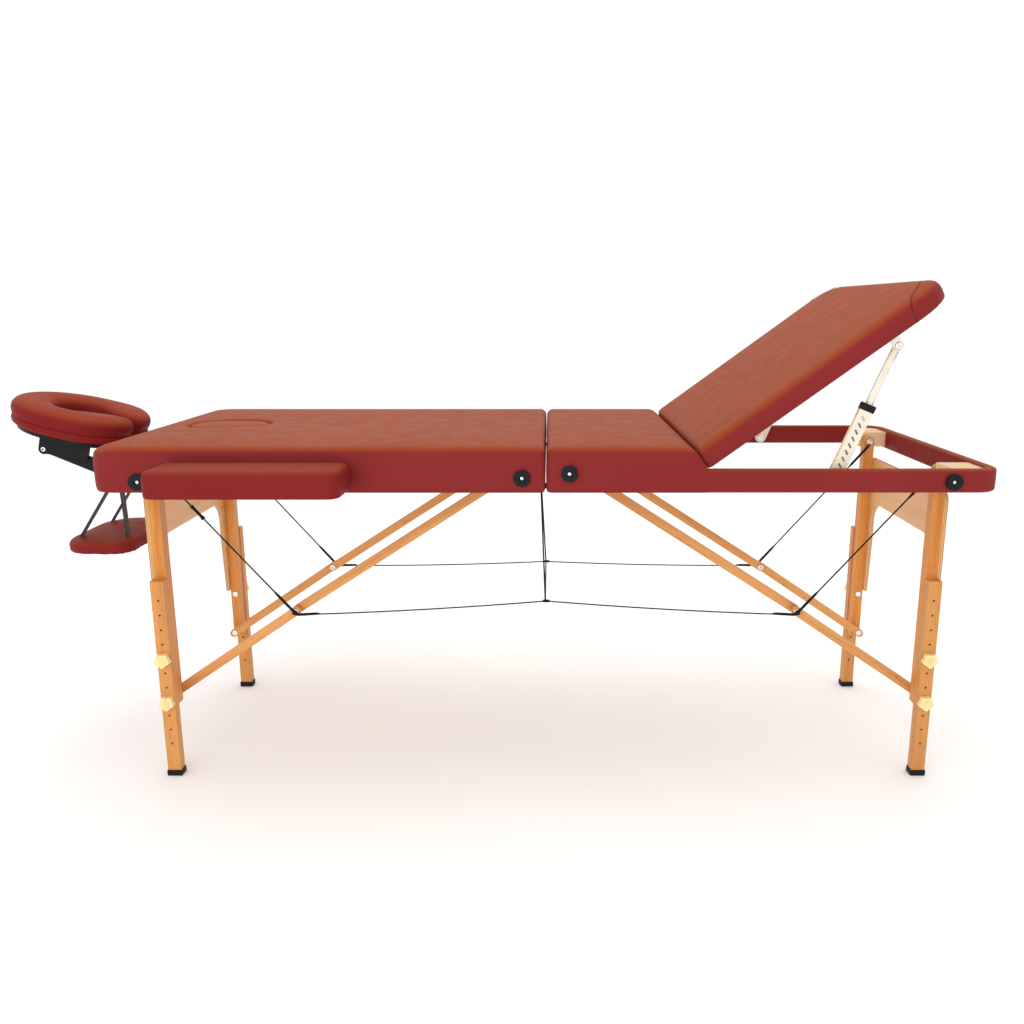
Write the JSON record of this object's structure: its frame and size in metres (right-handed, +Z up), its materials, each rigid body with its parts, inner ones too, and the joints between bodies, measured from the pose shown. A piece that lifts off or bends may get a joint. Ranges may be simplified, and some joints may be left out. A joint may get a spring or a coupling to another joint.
{
  "type": "portable massage table",
  "caption": "Folding massage table with red vinyl padding, raised backrest, horseshoe face cradle, hanging arm shelf, side armrests and height-adjustable wooden legs with cable stays.",
  "frame": {"origin": "on the floor under the middle of the whole length, face cradle included, on the table's centreline", "axes": "+X towards the foot end with the backrest, +Y towards the left-hand side of a person lying face up with the head at the face cradle, +Z up"},
  "size_m": [2.1778, 0.944, 1.1132],
  "materials": {
    "red_vinyl": "satin",
    "beech": "satin",
    "plywood": "satin",
    "zinc_steel": "satin",
    "black_paint": "satin",
    "black_strap": "matte",
    "black_rubber": "matte",
    "black_sleeve": "matte",
    "cream_plastic": "glossy"
  },
  "bodies": {
    "head_half": {"head_frame": "red_vinyl", "head_deck": "plywood", "head_pad": "red_vinyl", "head_blocks": "beech", "head_hardware": "zinc_steel", "head_bumpers": "black_rubber", "head_stays": "black_sleeve"},
    "fold_link": {"fold_pins": "zinc_steel", "drop_stays": "black_sleeve"},
    "foot_half": {"foot_frame": "red_vinyl", "seat_deck": "plywood", "seat_pad": "red_vinyl", "hinge_rail": "beech", "foot_blocks": "beech", "foot_bolts": "zinc_steel", "foot_hinge_leaves": "zinc_steel", "foot_bumpers": "black_rubber", "foot_stays": "black_sleeve"},
    "face_plug": {"face_hole_plug": "red_vinyl"},
    "backrest": {"backrest_board": "plywood", "backrest_pad": "red_vinyl", "backrest_hinges": "zinc_steel"},
    "ratchet_bar_pair": {"ratchet_bars": "zinc_steel"},
    "ratchet_channel_pair": {"ratchet_channels": "zinc_steel"},
    "cradle_base": {"cradle_posts": "black_paint"},
    "cradle_lift_arms": {"cradle_arms": "black_paint"},
    "cradle_head": {"cradle_platform": "black_paint", "cradle_pad": "red_vinyl"},
    "arm_shelf": {"shelf_pad": "red_vinyl", "shelf_straps": "black_strap"},
    "armrest_right": {"armrest_pad_right": "red_vinyl", "armrest_base_right": "beech"},
    "armrest_left": {"armrest_pad_left": "red_vinyl", "armrest_base_left": "beech"},
    "head_legs": {"head_upper_legs": "beech", "head_leg_panel": "plywood", "head_leg_studs": "zinc_steel"},
    "head_upper_brace_pair": {"head_upper_braces": "beech"},
    "head_lower_brace_pair": {"head_lower_braces": "beech"},
    "lower_leg_head_right": {"lower_leg_head_right": "beech", "foot_cap_head_right": "black_rubber"},
    "knob_head_right_top": {"knob_head_right_top": "cream_plastic"},
    "knob_head_right_low": {"knob_head_right_low": "cream_plastic"},
    "lower_leg_head_left": {"lower_leg_head_left": "beech", "foot_cap_head_left": "black_rubber"},
    "knob_head_left_top": {"knob_head_left_top": "cream_plastic"},
    "knob_head_left_low": {"knob_head_left_low": "cream_plastic"},
    "foot_legs": {"foot_upper_legs": "beech", "foot_leg_panel": "plywood", "foot_leg_studs": "zinc_steel"},
    "foot_upper_brace_pair": {"foot_upper_braces": "beech"},
    "foot_lower_brace_pair": {"foot_lower_braces": "beech"},
    "lower_leg_foot_right": {"lower_leg_foot_right": "beech", "foot_cap_foot_right": "black_rubber"},
    "knob_foot_right_top": {"knob_foot_right_top": "cream_plastic"},
    "knob_foot_right_low": {"knob_foot_right_low": "cream_plastic"},
    "lower_leg_foot_left": {"lower_leg_foot_left": "beech", "foot_cap_foot_left": "black_rubber"},
    "knob_foot_left_top": {"knob_foot_left_top": "cream_plastic"},
    "knob_foot_left_low": {"knob_foot_left_low": "cream_plastic"}
  },
  "joints": [
    {"name": "fold_a", "type": "hinge", "parent": "head_half", "child": "fold_link", "pos_m": [0.16391, 0, 0.68], "axis": [0, 1, 0], "range_deg": [0, 90], "deforming": ["head_stays", "foot_stays", "drop_stays"]},
    {"name": "fold_b", "type": "hinge", "parent": "fold_link", "child": "foot_half", "pos_m": [0.16391, 0, 0.68], "axis": [0, 1, 0], "range_deg": [0, 90]},
    {"name": "head_leg_fold", "type": "hinge", "parent": "head_half", "child": "head_legs", "pos_m": [-0.68609, 0, 0.704], "axis": [0, -1, 0], "range_deg": [0, 90]},
    {"name": "head_upper_brace_swing", "type": "hinge", "parent": "head_half", "child": "head_upper_brace_pair", "pos_m": [0.10391, 0, 0.701], "axis": [0, 1, 0], "range_deg": [0, 33.49]},
    {"name": "head_lower_brace_swing", "type": "hinge", "parent": "head_legs", "child": "head_lower_brace_pair", "pos_m": [-0.68609, 0, 0.1816], "axis": [0, -1, 0], "range_deg": [0, 55.18]},
    {"name": "leg_slide_head_right", "type": "slide", "parent": "head_legs", "child": "lower_leg_head_right", "axis": [0, 0, 1], "range_m": [-0.102, 0.102]},
    {"name": "knob_head_right_top_turn", "type": "hinge", "parent": "head_legs", "child": "knob_head_right_top", "pos_m": [-0.68609, -0.2623, 0.2836], "axis": [0, -1, 0], "continuous": true},
    {"name": "knob_head_right_low_turn", "type": "hinge", "parent": "head_legs", "child": "knob_head_right_low", "pos_m": [-0.68609, -0.2623, 0.1816], "axis": [0, -1, 0], "continuous": true},
    {"name": "leg_slide_head_left", "type": "slide", "parent": "head_legs", "child": "lower_leg_head_left", "axis": [0, 0, 1], "range_m": [-0.102, 0.102]},
    {"name": "knob_head_left_top_turn", "type": "hinge", "parent": "head_legs", "child": "knob_head_left_top", "pos_m": [-0.68609, 0.2623, 0.2836], "axis": [0, 1, 0], "continuous": true},
    {"name": "knob_head_left_low_turn", "type": "hinge", "parent": "head_legs", "child": "knob_head_left_low", "pos_m": [-0.68609, 0.2623, 0.1816], "axis": [0, 1, 0], "continuous": true},
    {"name": "foot_leg_fold", "type": "hinge", "parent": "foot_half", "child": "foot_legs", "pos_m": [1.01391, 0, 0.704], "axis": [0, 1, 0], "range_deg": [0, 90]},
    {"name": "foot_upper_brace_swing", "type": "hinge", "parent": "foot_half", "child": "foot_upper_brace_pair", "pos_m": [0.22391, 0, 0.701], "axis": [0, -1, 0], "range_deg": [0, 33.49]},
    {"name": "foot_lower_brace_swing", "type": "hinge", "parent": "foot_legs", "child": "foot_lower_brace_pair", "pos_m": [1.01391, 0, 0.1816], "axis": [0, 1, 0], "range_deg": [0, 55.18]},
    {"name": "leg_slide_foot_right", "type": "slide", "parent": "foot_legs", "child": "lower_leg_foot_right", "axis": [0, 0, 1], "range_m": [-0.102, 0.102]},
    {"name": "knob_foot_right_top_turn", "type": "hinge", "parent": "foot_legs", "child": "knob_foot_right_top", "pos_m": [1.01391, -0.2623, 0.2836], "axis": [0, -1, 0], "continuous": true},
    {"name": "knob_foot_right_low_turn", "type": "hinge", "parent": "foot_legs", "child": "knob_foot_right_low", "pos_m": [1.01391, -0.2623, 0.1816], "axis": [0, -1, 0], "continuous": true},
    {"name": "leg_slide_foot_left", "type": "slide", "parent": "foot_legs", "child": "lower_leg_foot_left", "axis": [0, 0, 1], "range_m": [-0.102, 0.102]},
    {"name": "knob_foot_left_top_turn", "type": "hinge", "parent": "foot_legs", "child": "knob_foot_left_top", "pos_m": [1.01391, 0.2623, 0.2836], "axis": [0, 1, 0], "continuous": true},
    {"name": "knob_foot_left_low_turn", "type": "hinge", "parent": "foot_legs", "child": "knob_foot_left_low", "pos_m": [1.01391, 0.2623, 0.1816], "axis": [0, 1, 0], "continuous": true},
    {"name": "backrest_tilt", "type": "hinge", "parent": "foot_half", "child": "backrest", "pos_m": [0.49391, 0, 0.723], "axis": [0, 1, 0], "range_deg": [0, 36.3]},
    {"name": "ratchet_bar_swing", "type": "hinge", "parent": "backrest", "child": "ratchet_bar_pair", "pos_m": [0.86422, 0, 0.97393], "axis": [0, 1, 0], "range_deg": [0, 29.6]},
    {"name": "ratchet_channel_slide", "type": "slide", "parent": "ratchet_bar_pair", "child": "ratchet_channel_pair", "axis": [0.3794, 0, 0.9252], "range_m": [0, 0.10698]},
    {"name": "cradle_slide", "type": "slide", "parent": "head_half", "child": "cradle_base", "axis": [-1, 0, 0], "range_m": [0, 0.12]},
    {"name": "cradle_lift", "type": "hinge", "parent": "cradle_base", "child": "cradle_lift_arms", "pos_m": [-0.85609, 0, 0.686], "axis": [0, -1, 0], "range_deg": [0, 25]},
    {"name": "cradle_tilt", "type": "hinge", "parent": "cradle_lift_arms", "child": "cradle_head", "pos_m": [-0.98409, 0, 0.732], "axis": [0, -1, 0], "range_deg": [0, 30]},
    {"name": "shelf_swing", "type": "hinge", "parent": "cradle_base", "child": "arm_shelf", "pos_m": [-0.83309, 0, 0.709], "axis": [0, 1, 0], "range_deg": [-6, 6]},
    {"name": "armrest_right_slide", "type": "slide", "parent": "head_half", "child": "armrest_right", "axis": [0, -1, 0], "range_m": [0, 0.07]},
    {"name": "armrest_left_slide", "type": "slide", "parent": "head_half", "child": "armrest_left", "axis": [0, 1, 0], "range_m": [0, 0.07]},
    {"name": "plug_lift", "type": "slide", "parent": "head_half", "child": "face_plug", "axis": [0, 0, 1], "range_m": [0, 0.12]}
  ],
  "couplings": [
    {"joint": "head_leg_fold", "follows": "fold_a", "ratio": 1},
    {"joint": "head_upper_brace_swing", "follows": "fold_a", "ratio": 0.37204},
    {"joint": "head_lower_brace_swing", "follows": "fold_a", "ratio": 0.61301},
    {"joint": "foot_leg_fold", "follows": "fold_a", "ratio": 1},
    {"joint": "foot_upper_brace_swing", "follows": "fold_a", "ratio": 0.37204},
    {"joint": "foot_lower_brace_swing", "follows": "fold_a", "ratio": 0.61301},
    {"joint": "ratchet_bar_swing", "follows": "backrest_tilt", "ratio": 0.81508},
    {"joint": "ratchet_channel_slide", "follows": "backrest_tilt", "m_per_rad": 0.16883}
  ]
}
